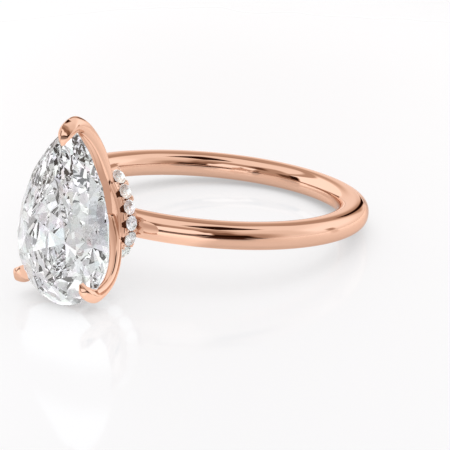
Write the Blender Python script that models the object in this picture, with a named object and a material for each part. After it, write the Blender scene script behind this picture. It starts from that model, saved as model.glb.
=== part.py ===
"""An engagement ring lying on its side: a pear-cut stone in three claws over a hidden halo.

Lengths are in millimetres, and become metres as each mesh is made. The ring's own frame has the
finger's axis as Z and the head along -Y. The head's frame has X across the ring, Y towards the
pear's tip and Z outward from the finger's axis.
"""

import math

import bmesh
import bpy
from mathutils import Matrix, Vector

MM = 0.001
GAP = 0.03  # between pieces that are soldered together or set in each other

# Band
FINGER_DIAMETER = 16.92
BAND_THICKNESS = 2.02
BAND_WIDTH = 1.70
BAND_SQUARENESS = 2.3  # power of the section's superellipse: 2 is a plain ellipse
BAND_SECTIONS = 80
BAND_SIDES = 20
BAND_RADIUS = (FINGER_DIAMETER + BAND_THICKNESS) / 2

# Centre stone: a pear whose widest line is STONE_TIP_REACH below its tip
STONE_WIDTH = 7.05
STONE_TIP_REACH = 7.38
STONE_ROUND_REACH = 3.80
STONE_BELLY_Y = -0.72
GIRDLE_HEIGHT = 15.0
STONE_RIM_STEPS = 4  # girdle points to each upper half

# A brilliant's proportions, for the centre stone and the halo's stones alike
MAINS = 8
CROWN_SHARE = 0.15  # of the width, as the pavilion's and the girdle's
PAVILION_SHARE = 0.43
GIRDLE_SHARE = 0.035
TABLE_SHARE = 0.58  # of the girdle's outline
STAR_SHARE = 0.5  # how far down the crown the star facets reach
LOWER_HALF_SHARE = 0.78  # how far towards the culet the lower halves reach

# Hidden halo: a wall that follows a pear, with round stones set in its outer face. The first
# place is the pear's tip, which is plain metal
HALO_PLACES = 16
HALO_STONE_DIAMETER = 0.95
HALO_HALF_WIDTH = 2.13
HALO_TIP_REACH = 3.75
HALO_ROUND_REACH = 2.35
HALO_BELLY_Y = -0.10
HALO_TIP_POWER = 1.6  # superellipse power of the tip's half: under 2 is pointed
HALO_TIP_INSET = 1.45  # the tip moves this much further inward than the sides do
HALO_STONE_HEIGHT = 10.98
HALO_LEAN = math.radians(4.0)
HALO_RIM_STEPS = 2
RAIL_BOTTOM = 10.42
RAIL_TOP = 11.55
RAIL_THICKNESS = 0.62
RAIL_CHAMFER = 0.06
RAIL_SECTIONS = 96
SEAT_CLEARANCE = 0.03
SEAT_DEPTH = 0.50
SEAT_POINT_RADIUS = 0.09
SEAT_SIDES = 20
OUTLINE_STEPS = 1440  # straight steps by which the halo's outline is measured

# Prongs: rows of (distance along the prong's plane, height, half width, half thickness)
PRONG_SIDES = 16
PRONG_STATIONS = 30
TIP_PRONG = (
    (0.30, 11.40, 0.60, 0.36),
    (1.95, 11.34, 0.62, 0.42),
    (3.25, 11.66, 0.58, 0.47),
    (4.52, 12.34, 0.56, 0.49),
    (5.58, 13.15, 0.55, 0.49),
    (6.42, 14.05, 0.56, 0.47),
    (6.90, 14.88, 0.58, 0.41),
    (6.84, 15.46, 0.61, 0.36),
    (6.46, 15.84, 0.54, 0.31),
    (6.00, 15.93, 0.38, 0.24),
    (5.50, 15.82, 0.07, 0.09),
)
SIDE_PRONG_ROOT = Vector((0.80, 0.25, 0.0))
SIDE_PRONG_FOOT = Vector((2.85, -3.50, 0.0))
SIDE_PRONG = (
    (-0.10, 11.46, 0.30, 0.24),
    (0.95, 11.66, 0.30, 0.26),
    (1.95, 12.14, 0.30, 0.27),
    (2.78, 12.74, 0.30, 0.28),
    (3.48, 13.42, 0.31, 0.29),
    (3.92, 14.20, 0.35, 0.33),
    (4.17, 15.00, 0.43, 0.39),
    (4.06, 15.60, 0.47, 0.39),
    (3.62, 15.96, 0.38, 0.32),
    (3.00, 15.88, 0.08, 0.10),
)

# The resting pose: the back of the band and the stone's round end touch the surface
LYING_ANGLE = math.radians(8.5)

ROSE_GOLD = ((0.86, 0.55, 0.42, 1.0), 0.12, 1.0, 0.0)  # colour, roughness, metallic, transmission
DIAMOND = ((0.98, 0.98, 1.0, 1.0), 0.0, 0.0, 1.0)
DIAMOND_IOR = 2.417


def clear_scene():
    for item in list(bpy.data.objects):
        bpy.data.objects.remove(item, do_unlink=True)


def make_material(name, look):
    colour, roughness, metallic, transmission = look
    material = bpy.data.materials.new(name)
    material.use_nodes = True
    shader = material.node_tree.nodes["Principled BSDF"]
    shader.inputs["Base Color"].default_value = colour
    shader.inputs["Roughness"].default_value = roughness
    shader.inputs["Metallic"].default_value = metallic
    shader.inputs["Transmission Weight"].default_value = transmission
    if transmission:
        shader.inputs["IOR"].default_value = DIAMOND_IOR
    return material


def make_empty(name, parent=None):
    empty = bpy.data.objects.new(name, None)
    empty.parent = parent
    bpy.context.collection.objects.link(empty)
    return empty


def make_mesh(name, points, faces):
    """A closed mesh from points in millimetres, with its faces turned outward."""
    bm = bmesh.new()
    corners = [bm.verts.new(Vector(point) * MM) for point in points]
    for face in faces:
        bm.faces.new([corners[index] for index in face])
    bmesh.ops.recalc_face_normals(bm, faces=bm.faces)
    mesh = bpy.data.meshes.new(name)
    bm.to_mesh(mesh)
    bm.free()
    return mesh


def loft(name, rings, wrap=False):
    """A skin over equal rings of points; the ends are capped, or joined where wrap is set."""
    sides = len(rings[0])
    points = [point for ring in rings for point in ring]
    faces = []
    for row in range(len(rings) if wrap else len(rings) - 1):
        here, there = row * sides, (row + 1) % len(rings) * sides
        for side in range(sides):
            nxt = (side + 1) % sides
            faces.append((here + side, here + nxt, there + nxt, there + side))
    if not wrap:
        faces.append(range(sides))
        faces.append(range(len(points) - sides, len(points)))
    return make_mesh(name, points, faces)


def place(name, mesh, parent, material, smooth_angle=None):
    piece = bpy.data.objects.new(name, mesh)
    piece.parent = parent
    bpy.context.collection.objects.link(piece)
    if not mesh.materials:
        mesh.materials.append(material)
    if smooth_angle is not None:
        mesh.shade_smooth()
        mesh.set_sharp_from_angle(angle=smooth_angle)
    return piece


def make_cutter(name, mesh, parent):
    cutter = bpy.data.objects.new(name, mesh)
    cutter.parent = parent
    cutter.hide_render = True
    cutter.display_type = "WIRE"
    bpy.context.collection.objects.link(cutter)
    return cutter


def cut(piece, cutter):
    boolean = piece.modifiers.new(cutter.name, "BOOLEAN")
    boolean.operation = "DIFFERENCE"
    boolean.solver = "EXACT"
    boolean.object = cutter


def signed_power(value, power):
    return math.copysign(abs(value) ** power, value)


def band_mesh(name, grow, sections, sides):
    """The ring of the band, its section grown all round by a margin."""
    half_thickness = BAND_THICKNESS / 2 + grow
    half_width = BAND_WIDTH / 2 + grow
    rings = []
    for section in range(sections):
        turn = Matrix.Rotation(math.tau * section / sections, 3, "Z")
        ring = []
        for side in range(sides):
            angle = math.tau * side / sides
            across = signed_power(math.cos(angle), 2 / BAND_SQUARENESS) * half_thickness
            along = signed_power(math.sin(angle), 2 / BAND_SQUARENESS) * half_width
            ring.append(turn @ Vector((0, -BAND_RADIUS - across, along)))
        rings.append(ring)
    return loft(name, rings, wrap=True)


class Outline:
    """A gem's girdle seen from above. Places on it run from 0 at the tip, clockwise, to 8, one
    for each main facet."""

    def __init__(self, width, tip_reach, round_reach, rim_steps):
        self.half = width / 2
        self.rim_steps = rim_steps
        self.tip_reach = tip_reach
        self.round_reach = round_reach
        self.arc_radius = (self.half**2 + tip_reach**2) / width
        self.arc_angle = math.asin(min(1.0, tip_reach / self.arc_radius))

    def point(self, position):
        side = 1 if position <= MAINS / 2 else -1
        step = position if position <= MAINS / 2 else MAINS - position
        if step <= 2:
            angle = self.arc_angle * (1 - step / 2)
            x = self.arc_radius * math.cos(angle) - (self.arc_radius - self.half)
            y = self.arc_radius * math.sin(angle)
        else:
            angle = math.pi / 4 * (step - 2)
            x = self.half * math.cos(angle)
            y = -self.round_reach * math.sin(angle)
        return Vector((side * x, y, 0))

    def tangent(self, position):
        """The girdle's direction at a facet position; the tip's is square to the gem's length."""
        if position % MAINS == 0:
            return Vector((1, 0, 0))
        step = 0.001
        return (self.point(position + step) - self.point(position - step)).normalized()


def plane_height(x, y, plane):
    """The height at which the plane (point, normal) passes over x, y."""
    point, normal = plane
    return point.z - (normal.x * (x - point.x) + normal.y * (y - point.y)) / normal.z


def plane_through(a, b, c):
    return a, (b - a).cross(c - a).normalized()


def ridge_point(first, second, start, height):
    """Where the ridge between two planes, followed from start, reaches a height."""
    direction = first[1].cross(second[1])
    return start + direction * ((height - start.z) / direction.z)


def brilliant_mesh(name, outline, grow=0.0):
    """A brilliant: its mains, with stars and halves between them. Each facet is flat, because
    it lies in the plane that its neighbours' corners define. grow moves all of it outward, for
    a cutter."""
    width, steps = 2 * outline.half, outline.rim_steps
    girdle = GIRDLE_SHARE * width / 2
    crown = girdle + CROWN_SHARE * width
    culet = Vector((0, 0, -girdle - PAVILION_SHARE * width))
    at_girdle = [outline.point(i) for i in range(MAINS)]
    table = [point * TABLE_SHARE + Vector((0, 0, crown)) for point in at_girdle]
    tops = [point + Vector((0, 0, girdle)) for point in at_girdle]
    feet = [point - Vector((0, 0, girdle)) for point in at_girdle]
    crown_mains, pavilion_mains = [], []
    for i in range(MAINS):
        tangent = outline.tangent(i)
        crown_mains.append(plane_through(tops[i], tops[i] + tangent, table[i]))
        pavilion_mains.append(plane_through(feet[i], feet[i] + tangent, culet))

    points, faces = [culet], []

    def add(point):
        points.append(point)
        return len(points) - 1

    table_ids = [add(point) for point in table]
    top_ids = [add(point) for point in tops]
    foot_ids = [add(point) for point in feet]
    star_ids, lower_ids, upper_rims, lower_rims = [], [], [], []
    for i in range(MAINS):
        j = (i + 1) % MAINS
        star_height = crown + (girdle - crown) * STAR_SHARE
        on_ridge = crossing(crown_mains[i], crown_mains[j], crown)
        star = ridge_point(crown_mains[i], crown_mains[j], on_ridge, star_height)
        lower_height = culet.z * (1 - LOWER_HALF_SHARE)
        lower = ridge_point(pavilion_mains[i], pavilion_mains[j], culet, lower_height)
        star_ids.append(add(star))
        lower_ids.append(add(lower))
        middle = outline.point(i + 0.5)
        top_middle = middle + Vector((0, 0, girdle))
        foot_middle = middle - Vector((0, 0, girdle))
        top_run, foot_run = [top_ids[i]], [foot_ids[i]]
        for first, corner in ((i, i), (i + 0.5, j)):
            upper_plane = plane_through(star, tops[corner], top_middle)
            lower_plane = plane_through(lower, feet[corner], foot_middle)
            for step in range(1, steps):
                rim = outline.point(first + step / (2 * steps))
                high = plane_height(rim.x, rim.y, upper_plane)
                low = plane_height(rim.x, rim.y, lower_plane)
                top_run.append(add(Vector((rim.x, rim.y, high))))
                foot_run.append(add(Vector((rim.x, rim.y, low))))
            if corner == i:
                top_run.append(add(top_middle))
                foot_run.append(add(foot_middle))
        top_run.append(top_ids[j])
        foot_run.append(foot_ids[j])
        upper_rims.append(top_run)
        lower_rims.append(foot_run)

    faces.append(table_ids)
    for i in range(MAINS):
        j, before = (i + 1) % MAINS, (i - 1) % MAINS
        faces.append((table_ids[i], table_ids[j], star_ids[i]))
        faces.append((table_ids[i], star_ids[i], top_ids[i], star_ids[before]))
        faces.append((0, lower_ids[before], foot_ids[i], lower_ids[i]))
        half = steps + 1
        faces.append([star_ids[i], *upper_rims[i][:half]])
        faces.append([star_ids[i], *upper_rims[i][half - 1 :]])
        faces.append([lower_ids[i], *lower_rims[i][:half]])
        faces.append([lower_ids[i], *lower_rims[i][half - 1 :]])
        for step in range(2 * steps):
            top, foot = upper_rims[i], lower_rims[i]
            faces.append((top[step], top[step + 1], foot[step + 1], foot[step]))
    if grow:
        middle = Vector((0, (outline.tip_reach - outline.round_reach) / 2, 0))
        reach = Vector((outline.half, (outline.tip_reach + outline.round_reach) / 2, -culet.z))
        factor = Vector([1 + grow / size for size in reach])
        points = [middle + (point - middle) * factor for point in points]
    return make_mesh(name, points, faces)


def crossing(first, second, height):
    """A point of the ridge between two planes, at a height."""
    rows = Matrix(((first[1].x, first[1].y), (second[1].x, second[1].y)))
    sums = Vector(
        [plane[1].dot(plane[0]) - plane[1].z * height for plane in (first, second)]
    )
    x, y = rows.inverted() @ sums
    return Vector((x, y, height))


def halo_point(angle, inset=0.0):
    """A point of the halo's outline, counterclockwise from +X, moved inward by the inset."""
    across, along = math.cos(angle), math.sin(angle)
    half = HALO_HALF_WIDTH - inset
    reach = HALO_ROUND_REACH - inset
    if along > 0:
        power = 2 / HALO_TIP_POWER
        across, along = signed_power(across, power), along**power
        reach = HALO_TIP_REACH - HALO_TIP_INSET * inset
    return Vector((across * half, HALO_BELLY_Y + along * reach, 0))


def equal_angles(count):
    """Angles that step round the halo's outline by equal lengths, from the tip."""
    angles = [
        math.pi / 2 + math.tau * i / OUTLINE_STEPS for i in range(OUTLINE_STEPS + 1)
    ]
    lengths = [0.0]
    for here, there in zip(angles, angles[1:]):
        lengths.append(lengths[-1] + (halo_point(there) - halo_point(here)).length)
    found, index = [], 0
    for step in range(count):
        wanted = lengths[-1] * step / count
        while lengths[index + 1] < wanted:
            index += 1
        share = (wanted - lengths[index]) / (lengths[index + 1] - lengths[index])
        found.append(angles[index] + share * (angles[index + 1] - angles[index]))
    return found


def lean_inset(height):
    """The wall leans towards the head, so its outline shrinks with height."""
    return (height - HALO_STONE_HEIGHT) * math.tan(HALO_LEAN)


def rail_mesh(name):
    depth, chamfer = RAIL_THICKNESS, RAIL_CHAMFER
    profile = (
        (0, RAIL_BOTTOM + chamfer),
        (0, RAIL_TOP - chamfer),
        (chamfer, RAIL_TOP),
        (depth - chamfer, RAIL_TOP),
        (depth, RAIL_TOP - chamfer),
        (depth, RAIL_BOTTOM + chamfer),
        (depth - chamfer, RAIL_BOTTOM),
        (chamfer, RAIL_BOTTOM),
    )
    rings = []
    for angle in equal_angles(RAIL_SECTIONS):
        ring = []
        for inset, height in profile:
            point = halo_point(angle, inset + lean_inset(height))
            ring.append((point.x, point.y, height))
        rings.append(ring)
    return loft(name, rings, wrap=True)


def gallery_block_mesh(name, inset, top):
    """A solid block inside an inset of the halo's outline, from the rail's foot to a height."""
    rings = []
    for height in (RAIL_BOTTOM, top):
        ring = []
        for angle in equal_angles(RAIL_SECTIONS // 2):
            point = halo_point(angle, inset + lean_inset(height))
            ring.append((point.x, point.y, height))
        rings.append(ring)
    return loft(name, rings)


def seat_mesh(name):
    """What a halo stone's seat takes out of the wall: open outward, a cone inward."""
    radius = HALO_STONE_DIAMETER / 2 + SEAT_CLEARANCE
    girdle = GIRDLE_SHARE * HALO_STONE_DIAMETER / 2 + SEAT_CLEARANCE
    rings = []
    levels = ((radius, SEAT_DEPTH), (radius, -girdle), (SEAT_POINT_RADIUS, -SEAT_DEPTH))
    for size, height in levels:
        ring = []
        for side in range(SEAT_SIDES):
            angle = math.tau * side / SEAT_SIDES
            ring.append((size * math.cos(angle), size * math.sin(angle), height))
        rings.append(ring)
    return loft(name, rings)


def halo_frames():
    """Where each halo stone sits in the head's frame: its girdle's centre, its table outward."""
    frames = []
    for angle in equal_angles(HALO_PLACES)[1:]:
        step = 0.01
        ahead = halo_point(angle + step) - halo_point(angle - step)
        tangent = ahead.normalized()
        outward = Vector((tangent.y, -tangent.x, math.tan(HALO_LEAN))).normalized()
        upward = outward.cross(tangent)
        turn = Matrix((tangent, upward, outward)).transposed().to_4x4()
        place_at = halo_point(angle) * MM
        place_at.z = HALO_STONE_HEIGHT * MM
        frames.append(Matrix.Translation(place_at) @ turn)
    return frames


def catmull_rom(rows, stations):
    """A smooth run through the rows, at evenly stepped stations."""
    padded = [rows[0], *rows, rows[-1]]
    spans = len(rows) - 1
    run = []
    for station in range(stations):
        place_on = spans * station / (stations - 1)
        span = min(int(place_on), spans - 1)
        t = place_on - span
        a, b, c, d = padded[span : span + 4]
        run.append(
            [
                0.5
                * (2 * q + (r - p) * t + (2 * p - 5 * q + 4 * r - s) * t**2)
                + 0.5 * (3 * q - p - 3 * r + s) * t**3
                for p, q, r, s in zip(a, b, c, d)
            ]
        )
    return run


def prong_mesh(name, rows, root, direction):
    """A claw swept in the upright plane through root along direction."""
    across = Vector((0, 0, 1)).cross(direction)
    run = catmull_rom(rows, PRONG_STATIONS)
    rings = []
    for index, (distance, height, half_width, half_thickness) in enumerate(run):
        before, after = run[max(index - 1, 0)], run[min(index + 1, len(run) - 1)]
        along = direction * (after[0] - before[0]) + Vector((0, 0, after[1] - before[1]))
        normal = across.cross(along).normalized()
        centre = root + direction * distance + Vector((0, 0, height))
        ring = []
        for side in range(PRONG_SIDES):
            angle = math.tau * side / PRONG_SIDES
            offset = across * half_width * math.cos(angle)
            ring.append(centre + offset + normal * half_thickness * math.sin(angle))
        rings.append(ring)
    return loft(name, rings)


def rest_on_surface(pose, pieces):
    """Moves the whole ring so that its box is centred over the origin and stands on Z = 0."""
    bpy.context.view_layer.update()
    graph = bpy.context.evaluated_depsgraph_get()
    corners = []
    for piece in pieces:
        evaluated = piece.evaluated_get(graph)
        corners += [evaluated.matrix_world @ v.co for v in evaluated.data.vertices]
    low = [min(corner[axis] for corner in corners) for axis in range(3)]
    high = [max(corner[axis] for corner in corners) for axis in range(3)]
    pose.location = (-(low[0] + high[0]) / 2, -(low[1] + high[1]) / 2, -low[2])


def build_ring():
    gold = make_material("rose_gold", ROSE_GOLD)
    diamond = make_material("diamond", DIAMOND)
    pose = make_empty("ring_pose")
    pose.rotation_euler.x = -LYING_ANGLE
    head = make_empty("head_pose", pose)
    head.rotation_euler.x = math.pi / 2
    soft_edge = math.radians(40)

    band = band_mesh("shank", 0.0, BAND_SECTIONS, BAND_SIDES)
    pieces = [place("shank", band, pose, gold, soft_edge)]
    band_space = make_cutter(
        "band_space", band_mesh("band_space", GAP, 2 * BAND_SECTIONS, 2 * BAND_SIDES), pose
    )

    rail = place("gallery_rail", rail_mesh("gallery_rail"), head, gold, soft_edge)
    cut(rail, band_space)
    for number, frame in enumerate(halo_frames(), start=1):
        seat = make_cutter(f"seat_{number:02d}", seat_mesh("seat"), head)
        seat.matrix_local = frame
        cut(rail, seat)
    pieces.append(rail)

    block = gallery_block_mesh("head_base", RAIL_THICKNESS + GAP, RAIL_TOP - RAIL_CHAMFER)
    base = place("head_base", block, head, gold, soft_edge)
    cut(base, band_space)
    pieces.append(base)
    gallery_space = make_cutter(
        "gallery_space", gallery_block_mesh("gallery_space", -GAP, RAIL_TOP + GAP), head
    )

    pear = Outline(STONE_WIDTH, STONE_TIP_REACH, STONE_ROUND_REACH, STONE_RIM_STEPS)
    stone_place = Vector((0, STONE_BELLY_Y, GIRDLE_HEIGHT)) * MM
    stone_space = make_cutter("stone_space", brilliant_mesh("stone_space", pear, GAP), head)
    stone_space.location = stone_place
    stone = place("center_stone", brilliant_mesh("center_stone", pear), head, diamond)
    stone.location = stone_place
    pieces.append(stone)

    tip = prong_mesh("tip_v_prong", TIP_PRONG, Vector(), Vector((0, 1, 0)))
    prongs = [place("tip_v_prong", tip, head, gold, soft_edge)]
    for name, side in (("right_claw_prong", 1), ("left_claw_prong", -1)):
        mirror = Vector((side, 1, 1))
        root, foot = SIDE_PRONG_ROOT * mirror, SIDE_PRONG_FOOT * mirror
        claw = prong_mesh(name, SIDE_PRONG, root, (foot - root).normalized())
        prongs.append(place(name, claw, head, gold, soft_edge))
    for prong in prongs:
        cut(prong, stone_space)
        cut(prong, gallery_space)
    pieces += prongs

    radius = HALO_STONE_DIAMETER / 2
    circle = Outline(HALO_STONE_DIAMETER, radius, radius, HALO_RIM_STEPS)
    melee = brilliant_mesh("halo_stone", circle)
    for number, frame in enumerate(halo_frames(), start=1):
        halo_stone = place(f"halo_stone_{number:02d}", melee, head, diamond)
        halo_stone.matrix_local = frame
        pieces.append(halo_stone)
    rest_on_surface(pose, pieces)


clear_scene()
build_ring()
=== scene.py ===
import math

import bmesh
import bpy
from mathutils import Matrix, Vector


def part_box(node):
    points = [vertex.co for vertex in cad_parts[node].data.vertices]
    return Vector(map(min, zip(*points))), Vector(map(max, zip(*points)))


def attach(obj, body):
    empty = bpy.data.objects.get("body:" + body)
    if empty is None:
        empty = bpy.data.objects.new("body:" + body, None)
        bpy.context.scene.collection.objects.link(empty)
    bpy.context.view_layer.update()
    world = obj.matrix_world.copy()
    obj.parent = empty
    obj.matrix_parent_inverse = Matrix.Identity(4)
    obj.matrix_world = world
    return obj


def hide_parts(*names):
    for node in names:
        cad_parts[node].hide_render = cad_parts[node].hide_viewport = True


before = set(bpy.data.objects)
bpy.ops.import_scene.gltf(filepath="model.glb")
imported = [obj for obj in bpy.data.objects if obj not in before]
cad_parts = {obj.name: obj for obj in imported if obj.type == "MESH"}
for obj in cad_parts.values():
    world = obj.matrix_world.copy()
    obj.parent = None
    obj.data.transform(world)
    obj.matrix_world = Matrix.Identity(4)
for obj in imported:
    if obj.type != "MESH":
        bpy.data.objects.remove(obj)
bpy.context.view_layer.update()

MM = 0.001
SHANK_LOW, SHANK_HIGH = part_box("shank")
LYING_ANGLE = math.radians(8.5)
RING = Matrix.Translation((SHANK_LOW + SHANK_HIGH) / 2) @ Matrix.Rotation(-LYING_ANGLE, 4, "X")
HEAD = RING @ Matrix.Rotation(math.pi / 2, 4, "X")

# ---------------------------------------------------------------- camera
# It looks at AIM, close to the band's centre, from DISTANCE metres, with a lens in millimetres
AIM = RING.translation + Vector((0.001213, 0.000091, -0.001710))
AZIMUTH, ELEVATION, ROLL = math.radians(36.15), math.radians(21.33), math.radians(0.125)
DISTANCE, LENS, SENSOR = 0.161, 196.58, 36.0


def make_camera():
    data = bpy.data.cameras.new("camera")
    data.lens, data.sensor_width = LENS, SENSOR
    data.clip_start, data.clip_end = 0.01, 10.0
    camera = bpy.data.objects.new("camera", data)
    back = Vector(
        (
            math.sin(AZIMUTH) * math.cos(ELEVATION),
            -math.cos(AZIMUTH) * math.cos(ELEVATION),
            math.sin(ELEVATION),
        )
    )
    turn = (-back).to_track_quat("-Z", "Y").to_matrix() @ Matrix.Rotation(ROLL, 3, "Z")
    camera.matrix_world = Matrix.Translation(AIM + back * DISTANCE) @ turn.to_4x4()
    bpy.context.scene.collection.objects.link(camera)
    bpy.context.scene.camera = camera


# ---------------------------------------------------------------- studio
class Nodes:
    """Short ways to add shader nodes to one tree. An input is given by its name, with _ for a
    space, or as i and its number."""

    def __init__(self, tree):
        self.tree = tree
        tree.nodes.clear()

    def add(self, kind, settings=None, **inputs):
        node = self.tree.nodes.new(kind)
        for key, value in (settings or {}).items():
            setattr(node, key, value)
        for key, value in inputs.items():
            name = key.replace("_", " ")
            socket = node.inputs[int(key[1:])] if key[1:].isdigit() else node.inputs[name]
            if isinstance(value, bpy.types.NodeSocket):
                self.tree.links.new(value, socket)
            else:
                socket.default_value = value
        return node

    def math(self, operation, a, b=0.0):
        return self.add("ShaderNodeMath", {"operation": operation}, i0=a, i1=b).outputs[0]

    def dot(self, a, b):
        node = self.add("ShaderNodeVectorMath", {"operation": "DOT_PRODUCT"}, i0=a, i1=b)
        return node.outputs["Value"]

    def fade(self, value, start, end, low=0.0, high=1.0):
        """Goes smoothly from low to high as value goes from start to end."""
        settings = {"interpolation_type": "SMOOTHSTEP"}
        return self.add(
            "ShaderNodeMapRange", settings, i0=value, i1=start, i2=end, i3=low, i4=high
        ).outputs[0]

    def mix(self, share, a, b):
        node = self.add("ShaderNodeMix", {"data_type": "FLOAT"}, i0=share, i2=a, i3=b)
        return node.outputs[0]

    def mix_colours(self, share, a, b):
        """Each of a and b is a colour or a socket."""
        node = self.add("ShaderNodeMix", {"data_type": "RGBA"}, i0=share, i6=a, i7=b)
        return node.outputs[2]

    def noise(self, where, scale, detail, roughness=0.5):
        node = self.add(
            "ShaderNodeTexNoise", Vector=where, Scale=scale, Detail=detail, Roughness=roughness
        )
        return node.outputs[0]

    def choose(self, share, a, b):
        """One of two shaders, by a share."""
        node = self.add("ShaderNodeMixShader", i0=share, i1=a.outputs[0], i2=b.outputs[0])
        return node

    def place(self):
        """Where a point is on the object, in metres."""
        return self.add("ShaderNodeTexCoord").outputs["Object"]

    def mirrored(self, path):
        """1 for a ray that a metal mirrors. One through a diamond counts as both, and gives 0."""
        return self.math("SUBTRACT", path["Is Glossy Ray"], path["Is Transmission Ray"])


def compass(azimuth, elevation):
    """A direction from degrees: azimuth from +Y towards +X."""
    a, e = math.radians(azimuth), math.radians(elevation)
    return Vector((math.sin(a) * math.cos(e), math.cos(a) * math.cos(e), math.sin(e)))


# Studio cards: azimuth, elevation, half width, half height, roll, softness (degrees), brightness.
# A later card lies over the earlier ones.
CARDS = (
    (-92, 62, 62, 14, 0, 8, 0.97),
    (-155, 22, 24, 34, -8, 12, 0.45),
    (-89, 24, 38, 18, 0, 4, 1.15),
    (-92, 45, 44, 3.5, 0, 3, 0.50),
    (-88, 1.6, 30, 2.4, 0, 1.5, 0.17),
    (-141, 15, 9, 13, 0, 8, 0.12),
    (-131, 19, 5, 14, 10, 4, 0.02),
    (-172, 42, 10, 11, 0, 8, 0.12),
    (-178, 6, 7, 10, 0, 4, 0.05),
    (-31, 44, 11, 14, 0, 12, 0.38),
    (-18, 25, 10, 20, 0, 8, 0.46),
    (-36, 29, 7, 16, 0, 14, 0.50),
    (-19, 10, 3.0, 12, 20, 2.5, 0.01),
    (30, 24, 28, 16, 0, 18, 1.12),
    (44, 8, 4, 8, -10, 5, 0.45),
    (92, 32, 26, 26, 0, 18, 0.84),
    (120, 14, 28, 22, 0, 26, 0.42),
    (150, 48, 24, 12, 0, 12, 0.45),
    (130, 5, 20, 14, 8, 8, 0.02),
    (133, 27, 11, 9, 10, 8, 0.20),
    (162, 22.5, 21, 14, 8, 4, 1.12),
    (140, 35, 7, 9, 18, 5, 0.28),
    (148, -1, 42, 5, 0, 4, 0.03),
    (85, 78, 17, 11, 0, 5, 0.02),
)
OPEN_GLOW = 0.95  # between the cards
WARM_POWERS = (1.27, 1.48)  # how green and blue fall off with brightness in the metal
LIFT_SHARE, LIFT = 0.95, 0.39  # through the diamonds the studio is brighter, its dark cards paler
DAYLIGHT, BACKDROP = (0.985, 0.99, 1.0, 1.0), (0.955, 0.955, 0.97, 1.0)
LAMP_PLACE, LAMP_SIZE, LAMP_POWER = (-0.05, -0.10, 0.80), (1.0, 0.8), 1.7


def make_studio():
    world = bpy.data.worlds.new("studio")
    world.use_nodes = True
    bpy.context.scene.world = world
    n = Nodes(world.node_tree)
    ray = n.add("ShaderNodeTexCoord").outputs["Generated"]
    glow = OPEN_GLOW
    for azimuth, elevation, half_width, half_height, roll, softness, brightness in CARDS:
        middle = compass(azimuth, elevation)
        level = Vector((math.cos(math.radians(azimuth)), -math.sin(math.radians(azimuth)), 0))
        turn = Matrix.Rotation(math.radians(roll), 3, middle)
        across, up = turn @ level, turn @ level.cross(middle)
        depth = n.dot(ray, middle)
        share = n.math("GREATER_THAN", depth, 0.02)  # only on the card's side of the world
        for axis, half in ((across, half_width), (up, half_height)):
            place = n.math("ABSOLUTE", n.math("ARCTAN2", n.dot(ray, axis), depth))
            edge, soft = math.radians(half), math.radians(softness)
            share = n.math("MULTIPLY", share, n.fade(place, edge - soft / 2, edge + soft / 2, 1, 0))
        glow = n.mix(share, glow, brightness)
    path = n.add("ShaderNodeLightPath").outputs
    # Mirrored in the metal, the dark cards are warm
    green, blue = (n.math("POWER", glow, power) for power in WARM_POWERS)
    warm = n.add("ShaderNodeCombineColor", i0=glow, i1=green, i2=blue).outputs[0]
    lifted = n.math("ADD", n.math("MULTIPLY", glow, LIFT_SHARE), LIFT)
    strength = n.mix(path["Is Transmission Ray"], glow, lifted)
    light = n.add("ShaderNodeBackground", Color=DAYLIGHT, Strength=strength)
    reflection = n.add("ShaderNodeBackground", Color=warm)
    backdrop = n.add("ShaderNodeBackground", Color=BACKDROP)
    sky = n.choose(n.mirrored(path), light, reflection)
    sky = n.choose(path["Is Camera Ray"], sky, backdrop)
    n.add("ShaderNodeOutputWorld", Surface=sky.outputs[0])

    lamp = bpy.data.lights.new("softbox", "AREA")
    lamp.shape, lamp.energy = "RECTANGLE", LAMP_POWER
    lamp.size, lamp.size_y = LAMP_SIZE
    softbox = bpy.data.objects.new("softbox", lamp)
    softbox.location = LAMP_PLACE
    softbox.rotation_euler = (-softbox.location).to_track_quat("-Z", "Y").to_euler()
    softbox.visible_glossy = softbox.visible_transmission = False
    bpy.context.scene.collection.objects.link(softbox)

    scene = bpy.context.scene
    scene.view_settings.view_transform = "Standard"
    scene.view_settings.look = "None"
    scene.cycles.max_bounces = 32
    scene.cycles.transmission_bounces = 24
    scene.cycles.glossy_bounces = 12
    scene.cycles.diffuse_bounces = 4
    scene.cycles.sample_clamp_indirect = 4.0


FLOOR_DROP = 0.00001  # the table lies this far under the ring, so that they share no plane
TABLE, TABLE_MIRRORED = (0.34, 0.34, 0.345, 1), (0.50, 0.45, 0.41, 1)
TABLE_GLOW, FAR_DARK = (0.99, 0.99, 1.0, 1), (0.05, 0.022, 0.013, 1)
CONTACT_REACH = 0.003  # how far from a piece the table is in its shade
GLOW_SHADED, GLOW_OPEN, GLOW_SEEN_THROUGH = 0.34, 0.63, 0.37
GLOW_LOW, GLOW_HIGH = 0.36, 0.64  # mirrored: all round, and towards the bright heading
BRIGHT_HEADING, SIDE_HEADING, FAR_HEADING = compass(163, 0), compass(130, 0), compass(145, 0)
POLISH_SCALE = 60.0  # of the noise, per metre
BLUR_FROM, BLURRED = (0.03, 0.10), 0.8  # far from the ring the table's reflections blur


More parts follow.
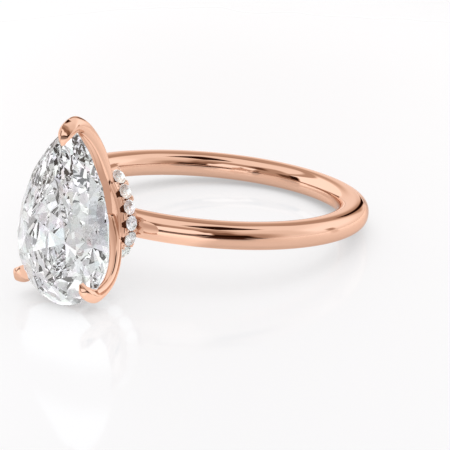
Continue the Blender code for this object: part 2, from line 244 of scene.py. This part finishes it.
def make_floor():
    """A glossy white table with a faint unevenness in its polish. Its mesh is a disc of rings."""
    rings, sides = (0.0, 0.02, 0.05, 0.12, 0.4, 1.5), 96
    points, faces = [Vector()], []
    for radius in rings[1:]:
        for side in range(sides):
            angle = math.tau * side / sides
            points.append(Vector((math.cos(angle), math.sin(angle), 0)) * radius)
    for ring in range(len(rings) - 1):
        for side in range(sides):
            a, b = 1 + ring * sides + side, 1 + ring * sides + (side + 1) % sides
            if ring == 0:
                faces.append((0, a, b))
            else:
                faces.append((a - sides, a, b, b - sides))
    mesh = bpy.data.meshes.new("floor")
    mesh.from_pydata(points, [], faces)
    floor = bpy.data.objects.new("floor", mesh)
    floor.location.z = -FLOOR_DROP
    bpy.context.scene.collection.objects.link(floor)

    material = bpy.data.materials.new("white_table")
    material.use_nodes = True
    n = Nodes(material.node_tree)
    where = n.place()
    polish = n.fade(n.noise(where, POLISH_SCALE, 3.0), 0.3, 0.7, 0.05, 0.10)
    distance = n.add("ShaderNodeVectorMath", {"operation": "LENGTH"}, i0=where).outputs["Value"]
    rough = n.mix(n.fade(distance, *BLUR_FROM), polish, BLURRED)
    path = n.add("ShaderNodeLightPath").outputs
    mirrored = n.mirrored(path)
    tone = n.mix_colours(mirrored, TABLE, TABLE_MIRRORED)
    # Mirrored in the metal, the table is brighter on one side,
    heading = n.add("ShaderNodeVectorMath", {"operation": "NORMALIZE"}, i0=where).outputs[0]
    sector = n.fade(n.dot(heading, BRIGHT_HEADING), 0.85, 0.955, GLOW_LOW, GLOW_HIGH)
    # dark a little further round,
    side = n.math(
        "MULTIPLY",
        n.fade(n.dot(heading, SIDE_HEADING), 0.94, 0.985),
        n.fade(distance, 0.018, 0.034),
    )
    # and dark far away
    far = n.math(
        "MULTIPLY",
        n.fade(n.dot(heading, FAR_HEADING), 0.68, 0.80, 0.0, 0.8),
        n.fade(distance, 0.030, 0.050),
    )
    shade = n.math("MULTIPLY", n.math("MAXIMUM", side, far), mirrored)
    # Seen directly, it glows evenly but for a soft shadow where a piece comes close
    near = n.add("ShaderNodeAmbientOcclusion", {"samples": 8}, Distance=CONTACT_REACH)
    glow = n.fade(near.outputs["AO"], 0.10, 0.70, GLOW_SHADED, GLOW_OPEN)
    glow = n.mix(path["Is Transmission Ray"], glow, GLOW_SEEN_THROUGH)
    table = n.add(
        "ShaderNodeBsdfPrincipled",
        Base_Color=tone,
        Roughness=rough,
        Specular_IOR_Level=0.5,
        Emission_Color=TABLE_GLOW,
        Emission_Strength=n.mix(mirrored, glow, sector),
    )
    dark = n.add("ShaderNodeEmission", Color=FAR_DARK)
    n.add("ShaderNodeOutputMaterial", Surface=n.choose(shade, table, dark).outputs[0])
    mesh.materials.append(material)


# ---------------------------------------------------------------- materials
# The second tone, a paler gold for the beads, is a painted highlight.
# The third tone, a near-black gold for the cuts in the halo wall, is painted shade.
ROSE, PAINTED_BEAD_HIGHLIGHT, PAINTED_RECESS_SHADE = (0.955, 0.615, 0.465), (0.96, 0.70, 0.575), (0.085, 0.028, 0.013)
EDGE_TINT = (1.0, 0.86, 0.78, 1)
DRIFT_DARKENS = (0.99, 0.97, 0.95)
BUFFED, EVEN = (2500.0, 2500.0, 9000.0), (5000.0, 5000.0, 5000.0)  # how hairlines are stretched
DRIFT_SCALE = 350.0  # of the slow drift of tone, per metre
# Gold mirrored in gold, and its glow on the table, are duller than the metal itself
DULLED = (
    ("Is Glossy Ray", (0.66, 0.53, 0.46, 1)),
    ("Is Diffuse Ray", (0.60, 0.60, 0.61, 1)),
)


def make_gold(name, hairline, tone=ROSE):
    """Polished rose gold: a slow drift of tone, hairlines from the buffing wheel along one axis,
    and a roughness that varies with both. hairline is how the fine texture is stretched."""
    material = bpy.data.materials.new(name)
    material.use_nodes = True
    n = Nodes(material.node_tree)
    where = n.place()
    drift = n.noise(where, DRIFT_SCALE, 2.0)
    drifted = tuple(value * share for value, share in zip(tone, DRIFT_DARKENS))
    shown = n.mix_colours(drift, (*tone, 1), (*drifted, 1))
    path = n.add("ShaderNodeLightPath").outputs
    for ray, dull in DULLED:
        shown = n.mix_colours(path[ray], shown, dull)
    stretched = n.add("ShaderNodeMapping", Vector=where, Scale=hairline).outputs[0]
    lines = n.noise(stretched, 1.0, 4.0, 0.6)
    rough = n.math("ADD", n.fade(drift, 0.3, 0.7, 0.02, 0.04), n.fade(lines, 0.45, 0.8, 0.0, 0.03))
    bump = n.add("ShaderNodeBump", Height=lines, Strength=0.02, Distance=0.00002)
    shader = n.add(
        "ShaderNodeBsdfPrincipled",
        Base_Color=shown,
        Roughness=rough,
        Metallic=1.0,
        Specular_Tint=EDGE_TINT,
        Normal=bump.outputs[0],
    )
    n.add("ShaderNodeOutputMaterial", Surface=shader.outputs[0])
    return material


DIAMOND_IOR = 2.417
HAZE_SCALE, FLECK_SCALE = 900.0, 1400.0  # per metre
# The second colour is a painted glow: an emission of the stones' own that stands in for light they
# catch.
DIAMOND, PAINTED_GLOW = (0.985, 0.99, 1.0, 1), (0.96, 0.98, 1.0, 1)
PAINTED_GLOW_HEIGHTS = (0.0043, 0.0053)  # between them the painted glow changes from low to high
# How a stone looks when the metal mirrors it: low down and high up, and between them
MIRRORED_ENDS, MIRRORED_MIDDLE = (0.95, 0.92, 0.90, 1.0), (0.60, 0.52, 0.48, 1.0)
MIDDLE_STARTS, MIDDLE_ENDS = (0.0025, 0.0045), (0.0058, 0.0078)


def make_diamond(name, haze, painted_glow):
    """Diamond: clear and sharply polished, with faint polishing haze in a fine noise and a slight
    tint that changes from fleck to fleck. The last argument is a faint painted glow, low and
    high up: an emission of the stone's own that stands in for light it catches."""
    material = bpy.data.materials.new(name)
    material.use_nodes = True
    n = Nodes(material.node_tree)
    where = n.place()
    height = n.add("ShaderNodeSeparateXYZ", Vector=where).outputs["Z"]
    wisps = n.noise(where, HAZE_SCALE, 5.0)
    flecks = n.add("ShaderNodeTexVoronoi", Vector=where, Scale=FLECK_SCALE).outputs["Color"]
    tint = n.mix_colours(n.fade(wisps, 0.3, 0.7, 0.05, 0.16), DIAMOND, flecks)
    shader = n.add(
        "ShaderNodeBsdfPrincipled",
        Base_Color=tint,
        Roughness=n.fade(wisps, 0.62, 0.8, 0.0, haze),
        IOR=DIAMOND_IOR,
        Transmission_Weight=1.0,
        # Painted glow: an emission that stands in for caught light, set by height.
        Emission_Color=PAINTED_GLOW,
        Emission_Strength=n.fade(height, *PAINTED_GLOW_HEIGHTS, *painted_glow),
    )
    # Mirrored in the metal, a stone is one soft tone
    path = n.add("ShaderNodeLightPath").outputs
    outside = n.math("SUBTRACT", 1.0, n.add("ShaderNodeNewGeometry").outputs["Backfacing"])
    middle = n.math(
        "MULTIPLY", n.fade(height, *MIDDLE_STARTS), n.fade(height, *MIDDLE_ENDS, 1, 0)
    )
    tone = n.mix_colours(middle, MIRRORED_ENDS, MIRRORED_MIDDLE)
    soft = n.add("ShaderNodeEmission", Color=tone)
    shown = n.choose(n.math("MULTIPLY", n.mirrored(path), outside), shader, soft)
    n.add("ShaderNodeOutputMaterial", Surface=shown.outputs[0])
    return material


# ---------------------------------------------------------------- shapes
def make_piece(name, frame_matrix, points, faces, material, sharp_from=math.pi):
    """A piece from points in millimetres in the ring's or the head's frame. It is smooth, but for
    edges that turn by more than sharp_from."""
    mesh = bpy.data.meshes.new(name)
    mesh.from_pydata([frame_matrix @ (Vector(point) * MM) for point in points], [], faces)
    mesh.validate()
    mesh.update()
    mesh.shade_smooth()
    if sharp_from < math.pi:
        mesh.set_sharp_from_angle(angle=sharp_from)
    mesh.materials.append(material)
    piece = bpy.data.objects.new(name, mesh)
    bpy.context.scene.collection.objects.link(piece)
    piece.visible_transmission = False  # the diamonds show the studio, not the metal behind them
    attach(piece, "root")
    return piece


def skin(rings, wrap=False):
    """Points and faces of a skin over equal rings; its ends are capped unless it wraps."""
    sides = len(rings[0])
    points = [point for ring in rings for point in ring]
    faces = []
    for row in range(len(rings) if wrap else len(rings) - 1):
        here, there = row * sides, (row + 1) % len(rings) * sides
        for side in range(sides):
            nxt = (side + 1) % sides
            faces.append((here + side, there + side, there + nxt, here + nxt))
    if not wrap:
        faces.append(list(range(sides)))
        faces.append(list(range(len(points) - 1, len(points) - sides - 1, -1)))
    return points, faces


def signed_power(value, power):
    return math.copysign(abs(value) ** power, value)


def blend(value, start, end):
    """0 at start, 1 at end, eased."""
    share = min(1.0, max(0.0, (value - start) / (end - start)))
    return share * share * (3 - 2 * share)


BAND_RADIUS, HALF_THICKNESS, HALF_WIDTH, SQUARENESS = 9.47, 1.01, 0.85, 2.3


def make_band(material):
    """The band. Its section is an oval, a little squarer than an ellipse."""
    sections, sides = 288, 72
    rings = []
    for section in range(sections):
        turn = Matrix.Rotation(math.tau * section / sections, 3, "Z")
        ring = []
        for side in range(sides):
            angle = math.tau * side / sides
            across = signed_power(math.cos(angle), 2 / SQUARENESS) * HALF_THICKNESS
            along = signed_power(math.sin(angle), 2 / SQUARENESS) * HALF_WIDTH
            ring.append(turn @ Vector((0, -BAND_RADIUS - across, along)))
        rings.append(ring)
    band = make_piece("band", RING, *skin(rings, wrap=True), material)
    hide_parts("shank")


HALO_PLACES = 16  # the first place is the pear's tip, which holds no stone
STONE_RADIUS = 0.475
STONE_HEIGHT = 10.98
HALO_LEAN = math.radians(4.0)
HALO_HALF_WIDTH, HALO_REACH, HALO_TIP_REACH = 2.13, 2.35, 3.75
HALO_MIDDLE = -0.10  # along the head, where the halo is widest
HALO_TIP_SQUARENESS = 1.6  # 2 is an ellipse, and 1 is a straight-sided point
HALO_TIP_INSET = 1.45  # an inset goes this much further in at the pointed end


def halo_point(angle, inset=0.0):
    """A point on the halo's pear outline, in millimetres, moved inwards by inset."""
    across, along = math.cos(angle), math.sin(angle)
    half, reach = HALO_HALF_WIDTH - inset, HALO_REACH - inset
    if along > 0:
        power = 2 / HALO_TIP_SQUARENESS
        across, along = signed_power(across, power), along**power
        reach = HALO_TIP_REACH - HALO_TIP_INSET * inset
    return Vector((across * half, HALO_MIDDLE + along * reach, 0))


def equal_angles(count):
    """Angles that step round the halo by equal lengths, and the length of a step."""
    fine = 1440
    angles = [math.pi / 2 + math.tau * i / fine for i in range(fine + 1)]
    lengths = [0.0]
    for here, there in zip(angles, angles[1:]):
        lengths.append(lengths[-1] + (halo_point(there) - halo_point(here)).length)
    found, index = [], 0
    for step in range(count):
        wanted = lengths[-1] * step / count
        while lengths[index + 1] < wanted:
            index += 1
        share = (wanted - lengths[index]) / (lengths[index + 1] - lengths[index])
        found.append(angles[index] + share * (angles[index + 1] - angles[index]))
    return found, lengths[-1] / count


def lean_inset(height):
    """The wall leans: how far in it is at a height above or below the stones' centres."""
    return (height - STONE_HEIGHT) * math.tan(HALO_LEAN)


# Sizes on the wall are from a stone's centre: along the wall, and rise towards the head
WALL_FOOT, WALL_TOP = 0.56, 0.68  # below and above the stones' centres
WALL_DEPTH = 0.55
SEAT_RADIUS = STONE_RADIUS + 0.03
SEAT_RIM, SEAT_CONE = 0.05, 0.40  # how deep a seat is at its edge, and how much deeper inside
NOTCH_HALF, NOTCH_TALL, NOTCH_DEPTH = 0.26, 0.23, 0.20
NOTCH_RISE, NOTCH_START = 0.50, 0.20  # the notch's middle, and where it can begin
CORNER_ALONG, CORNER_RISE, CORNER_DEPTH = (0.40, 0.51), (0.14, 0.32), 0.10
SCALLOP_FOOT, SCALLOP_SPAN = 0.36, (0.24, 0.42)  # the foot is cut up under each stone
ROUNDING, ROUNDING_REACH = 0.05, 0.06  # of the wall's top and foot
EDGE_INSET, INNER_CHAMFER = 0.12, 0.04
PLAIN_ALONG = 0.55  # at the tip the wall is shaped as it is this far from a stone


def in_notch(along, rise):
    """Whether a place on the wall is in the U-shaped cut on the head's side of a stone."""
    reach = (along / NOTCH_HALF) ** 2 + ((rise - NOTCH_RISE) / NOTCH_TALL) ** 2
    return rise > NOTCH_START and reach < 1


def in_corner(along, rise):
    """Whether it is in the little corner between two stones and their beads."""
    return (
        CORNER_ALONG[0] < abs(along) < CORNER_ALONG[1] and CORNER_RISE[0] < rise < CORNER_RISE[1]
    )


def seat_depth(along, rise):
    """How far the wall is cut back: a cone under each stone, the U-shaped cut above it, and the
    corners."""
    reach = math.hypot(along, rise)
    depth = 0.0
    if reach < SEAT_RADIUS:
        depth = SEAT_RIM + SEAT_CONE * (1 - reach / SEAT_RADIUS)
    if in_notch(along, rise):
        depth = max(depth, NOTCH_DEPTH)
    if in_corner(along, rise):
        depth = max(depth, CORNER_DEPTH)
    return depth


def make_halo(material, painted_shade):
    """The gallery rail's wall, with seats for the small stones. Cut faces take a near-black gold,
    painted shade for the cuts.
    """
    per_stone, rows = 32, 34
    angles, step = equal_angles(HALO_PLACES * per_stone)
    rings, dark = [], []
    for index, angle in enumerate(angles):
        place = (index + per_stone // 2) // per_stone % HALO_PLACES
        along = ((index + per_stone / 2) % per_stone - per_stone / 2) * step
        if place == 0:
            along = math.copysign(PLAIN_ALONG, along)
        scallop = blend(abs(along), *SCALLOP_SPAN)
        foot = -(SCALLOP_FOOT + (WALL_FOOT - SCALLOP_FOOT) * scallop)
        ring = []
        for row in range(rows + 1):
            rise = foot + (WALL_TOP - foot) * row / rows
            edge = ROUNDING * (1 - min(1.0, (WALL_TOP - rise) / ROUNDING_REACH)) ** 2
            edge += ROUNDING * (1 - min(1.0, (rise - foot) / ROUNDING_REACH)) ** 2
            cut = seat_depth(along, rise)
            height = STONE_HEIGHT + rise
            point = halo_point(angle, max(cut, edge) + lean_inset(height))
            ring.append((point.x, point.y, height))
            dark.append(cut > 0)
        # Over the top, down the inner side and back to the foot
        inner_top, inner_foot = STONE_HEIGHT + WALL_TOP, STONE_HEIGHT + foot
        for inset, height in (
            (max(EDGE_INSET, cut + 0.01), inner_top + 0.01),
            (WALL_DEPTH - INNER_CHAMFER, inner_top),
            (WALL_DEPTH, inner_top - INNER_CHAMFER),
            (WALL_DEPTH, inner_foot + INNER_CHAMFER),
            (WALL_DEPTH - INNER_CHAMFER, inner_foot),
            (EDGE_INSET, inner_foot),
        ):
            point = halo_point(angle, inset + lean_inset(height))
            ring.append((point.x, point.y, height))
            dark.append(False)
        rings.append(ring)
    wall = make_piece("halo_wall", HEAD, *skin(rings, wrap=True), material, math.radians(50))
    # Faces in the cuts take the near-black gold: painted shade.
    wall.data.materials.append(painted_shade)
    for face in wall.data.polygons:
        if sum(dark[corner] for corner in face.vertices) >= 3:
            face.material_index = 1
    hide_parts("gallery_rail")


def ball(centre, radius, turn, stretch):
    """A small bead: points and faces. turn has its axes, and stretch is along each of them."""
    rows, sides = 8, 12
    points = [centre + turn @ Vector((0, 0, radius * stretch[2]))]
    for row in range(1, rows):
        tilt = math.pi * row / rows
        for side in range(sides):
            angle = math.tau * side / sides
            offset = Vector(
                (
                    math.sin(tilt) * math.cos(angle) * stretch[0],
                    math.sin(tilt) * math.sin(angle) * stretch[1],
                    math.cos(tilt) * stretch[2],
                )
            )
            points.append(centre + turn @ (offset * radius))
    points.append(centre - turn @ Vector((0, 0, radius * stretch[2])))
    faces = []
    for side in range(sides):
        nxt = (side + 1) % sides
        faces.append((0, 1 + side, 1 + nxt))
        last = 1 + (rows - 2) * sides
        faces.append((len(points) - 1, last + nxt, last + side))
        for row in range(rows - 2):
            here = 1 + row * sides
            faces.append((here + side, here + sides + side, here + sides + nxt, here + nxt))
    return points, faces


# Rise, half spacing and radius of the pairs on the finger's and on the head's side
BEADS = ((-0.36, 0.060, 0.050), (0.42, 0.100, 0.086))
BEAD_STRETCH, BEAD_STANDS_OUT = (0.9, 1.35, 1.1), 0.4


def make_beads(material):
    """Four beads at each meeting of two places: a pair on the head's side, a pair on the
    finger's."""
    fine = 200
    angles, step = equal_angles(HALO_PLACES * fine)
    points, faces = [], []
    for place in range(HALO_PLACES):
        for rise, spacing, radius in BEADS:
            for side in (-1, 1):
                index = int((place + 0.5) * fine + side * spacing / step)
                height = STONE_HEIGHT + rise
                inset = lean_inset(height) - BEAD_STANDS_OUT * radius
                angle = angles[index]
                before, after = halo_point(angle - 0.01, inset), halo_point(angle + 0.01, inset)
                tangent = (after - before).normalized()
                outward = Vector((tangent.y, -tangent.x, 0))
                turn = Matrix((tangent, Vector((0, 0, 1)), outward)).transposed()
                centre = halo_point(angle, inset)
                centre.z = height
                more, skins = ball(centre, radius, turn, BEAD_STRETCH)
                faces += [[corner + len(points) for corner in face] for face in skins]
                points += more
    beads = make_piece("halo_beads", HEAD, points, faces, material)
    beads.visible_glossy = False  # too fine to be mirrored in the band


PLATE_LEVELS = (  # inset and rise, from the foot over the lip to the middle
    (0.50, -WALL_FOOT),
    (0.46, 0.55),
    (0.28, 0.62),
    (0.25, 0.67),
    (0.27, 0.70),
    (0.34, 0.705),
    (0.50, 0.67),
    (0.75, 0.60),
    (1.10, 0.53),
    (1.50, 0.48),
    (2.00, 0.46),
)


def make_plate(material):
    """The polished bridge inside the halo: a rounded lip, then a dished face."""
    sides = 192
    rings = []
    angles, _ = equal_angles(sides)
    for inset, rise in PLATE_LEVELS:
        ring = []
        for angle in angles:
            point = halo_point(angle, inset + lean_inset(STONE_HEIGHT + rise))
            ring.append((point.x, point.y, STONE_HEIGHT + rise))
        rings.append(ring)
    plate = make_piece("gallery_plate", HEAD, *skin(rings), material, math.radians(60))
    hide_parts("head_base")


def catmull_rom(rows, stations):
    """Rows read off at even steps along a smooth curve through all of them."""
    padded = [rows[0], *rows, rows[-1]]
    spans = len(rows) - 1
    run = []
    for station in range(stations):
        place = spans * station / (stations - 1)
        span = min(int(place), spans - 1)
        t = place - span
        run.append(
            [
                0.5 * (2 * q + (r - p) * t + (2 * p - 5 * q + 4 * r - s) * t**2)
                + 0.5 * (3 * q - p - 3 * r + s) * t**3
                for p, q, r, s in zip(*padded[span : span + 4])
            ]
        )
    return run


# Prongs: distance from the root, height, half width, outer and inner thickness, and how far the
# outer side is a ridge
TIP_PRONG = (
    (0.35, 11.30, 1.24, 0.36, 0.36, 0.0),
    (1.10, 11.31, 1.18, 0.38, 0.38, 0.0),
    (1.95, 11.36, 0.98, 0.42, 0.40, 0.0),
    (2.65, 11.48, 0.80, 0.45, 0.43, 0.0),
    (3.25, 11.66, 0.70, 0.48, 0.45, 0.0),
    (4.52, 12.34, 0.62, 0.53, 0.46, 0.0),
    (5.55, 13.15, 0.58, 0.54, 0.47, 0.0),
    (6.30, 14.05, 0.54, 0.60, 0.48, 0.1),
    (6.60, 14.80, 0.53, 0.60, 0.50, 0.40),
    (6.52, 15.35, 0.52, 0.50, 0.55, 0.8),
    (6.20, 15.68, 0.44, 0.34, 0.55, 0.9),
    (5.86, 15.80, 0.28, 0.20, 0.50, 0.9),
    (5.50, 15.80, 0.05, 0.05, 0.30, 0.7),
)
SIDE_PRONG = (
    (-0.62, 11.38, 0.10, 0.10, 0.12, 0.0),
    (-0.50, 11.39, 0.32, 0.26, 0.34, 0.0),
    (-0.20, 11.40, 0.43, 0.26, 0.42, 0.0),
    (0.20, 11.42, 0.44, 0.28, 0.44, 0.0),
    (0.95, 11.56, 0.42, 0.30, 0.40, 0.0),
    (1.95, 12.00, 0.38, 0.30, 0.36, 0.0),
    (2.78, 12.60, 0.36, 0.30, 0.34, 0.0),
    (3.45, 13.35, 0.35, 0.31, 0.36, 0.05),
    (3.90, 14.20, 0.38, 0.33, 0.44, 0.2),
    (4.12, 15.00, 0.43, 0.36, 0.50, 0.4),
    (4.00, 15.56, 0.44, 0.34, 0.50, 0.6),
    (3.62, 15.92, 0.36, 0.26, 0.45, 0.7),
    (3.14, 16.02, 0.06, 0.06, 0.30, 0.5),
)


# Between these heights a prong's section turns from an ellipse to a squarer oval
SQUARER_FROM, SQUARER_BY = (11.5, 12.5), 0.5
ROOF_POWER = 1.1  # 1 is a sharp ridge with flat sides
CLAW_EDGE = math.radians(32)
SIDE_ROOT, SIDE_FOOT = (0.93, 0.25), (2.85, -3.50)  # where a side prong starts, and passes over


def make_prong(name, rows, root, direction, node, material, stone_space):
    """A claw swept in the upright plane through root along direction, and cut by the stone."""
    sides, stations = 48, 120
    across = Vector((0, 0, 1)).cross(direction)
    run = catmull_rom(rows, stations)
    rings = []
    for index, (distance, height, half_width, outer, inner, ridge) in enumerate(run):
        before, after = run[max(index - 1, 0)], run[min(index + 1, len(run) - 1)]
        along = direction * (after[0] - before[0]) + Vector((0, 0, after[1] - before[1]))
        normal = across.cross(along).normalized()
        centre = root + direction * distance + Vector((0, 0, height))
        squareness = 2 + SQUARER_BY * blend(height, *SQUARER_FROM)
        ring = []
        for side in range(sides):
            angle = math.tau * side / sides
            wide = signed_power(math.cos(angle), 2 / squareness)
            deep = signed_power(math.sin(angle), 2 / squareness)
            if deep > 0:
                roof = 1 - abs(wide) ** ROOF_POWER
                deep = deep * (1 - ridge) + roof * ridge
            thickness = outer if deep > 0 else inner
            ring.append(centre + across * half_width * wide + normal * thickness * deep)
        rings.append(ring)
    prong = make_piece(name, HEAD, *skin(rings), material)
    cut = prong.modifiers.new("stone", "BOOLEAN")
    cut.operation, cut.solver, cut.object = "DIFFERENCE", "EXACT", stone_space
    graph = bpy.context.evaluated_depsgraph_get()
    mesh = bpy.data.meshes.new_from_object(prong.evaluated_get(graph))
    prong.modifiers.clear()
    prong.data = mesh
    mesh.set_sharp_from_angle(angle=CLAW_EDGE)
    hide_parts(node)


STONE_SPACE_GROWTH, WELD = 1.004, 0.001 * MM


def make_stone_space():
    """A closed copy of the centre stone, a little larger, which cuts its seats into the prongs."""
    form = bmesh.new()
    form.from_mesh(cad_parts["center_stone"].data)
    bmesh.ops.remove_doubles(form, verts=form.verts, dist=WELD)
    middle = sum((vert.co for vert in form.verts), Vector()) / len(form.verts)
    for vert in form.verts:
        vert.co = middle + (vert.co - middle) * STONE_SPACE_GROWTH
    mesh = bpy.data.meshes.new("stone_space")
    form.to_mesh(mesh)
    form.free()
    stone_space = bpy.data.objects.new("stone_space", mesh)
    bpy.context.scene.collection.objects.link(stone_space)
    return stone_space


def make_prongs(material):
    stone_space = make_stone_space()
    ahead = Vector((0, 1, 0))
    make_prong("tip_prong", TIP_PRONG, Vector(), ahead, "tip_v_prong", material, stone_space)
    for name, side, node in (
        ("right_claw", 1, "right_claw_prong"),
        ("left_claw", -1, "left_claw_prong"),
    ):
        root = Vector((SIDE_ROOT[0] * side, SIDE_ROOT[1], 0))
        foot = Vector((SIDE_FOOT[0] * side, SIDE_FOOT[1], 0))
        direction = (foot - root).normalized()
        make_prong(name, SIDE_PRONG, root, direction, node, material, stone_space)
    bpy.data.objects.remove(stone_space, do_unlink=True)


# ---------------------------------------------------------------- the ring
make_camera()
make_studio()
make_floor()
gold_band = make_gold("gold_band", BUFFED)
gold_head = make_gold("gold_head", EVEN)
# The beads take the paler gold: painted highlight.
gold_beads = make_gold("gold_beads", EVEN, PAINTED_BEAD_HIGHLIGHT)
# The near-black gold for the halo's cuts is painted shade.
gold_painted_shade = make_gold("gold_painted_shade", EVEN, PAINTED_RECESS_SHADE)
make_band(gold_band)
make_halo(gold_head, gold_painted_shade)
make_beads(gold_beads)
make_plate(gold_head)
make_prongs(gold_head)

# Both kinds of stone get a faint painted glow. On the small ones it is stronger higher up.
centre_diamond = make_diamond("centre_diamond", haze=0.02, painted_glow=(0.004, 0.004))
small_diamond = make_diamond("small_diamond", haze=0.03, painted_glow=(0.0, 0.075))
for node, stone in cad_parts.items():
    if node == "center_stone" or node.startswith("halo_stone"):
        material = centre_diamond if node == "center_stone" else small_diamond
        stone.data.materials.clear()
        stone.data.materials.append(material)
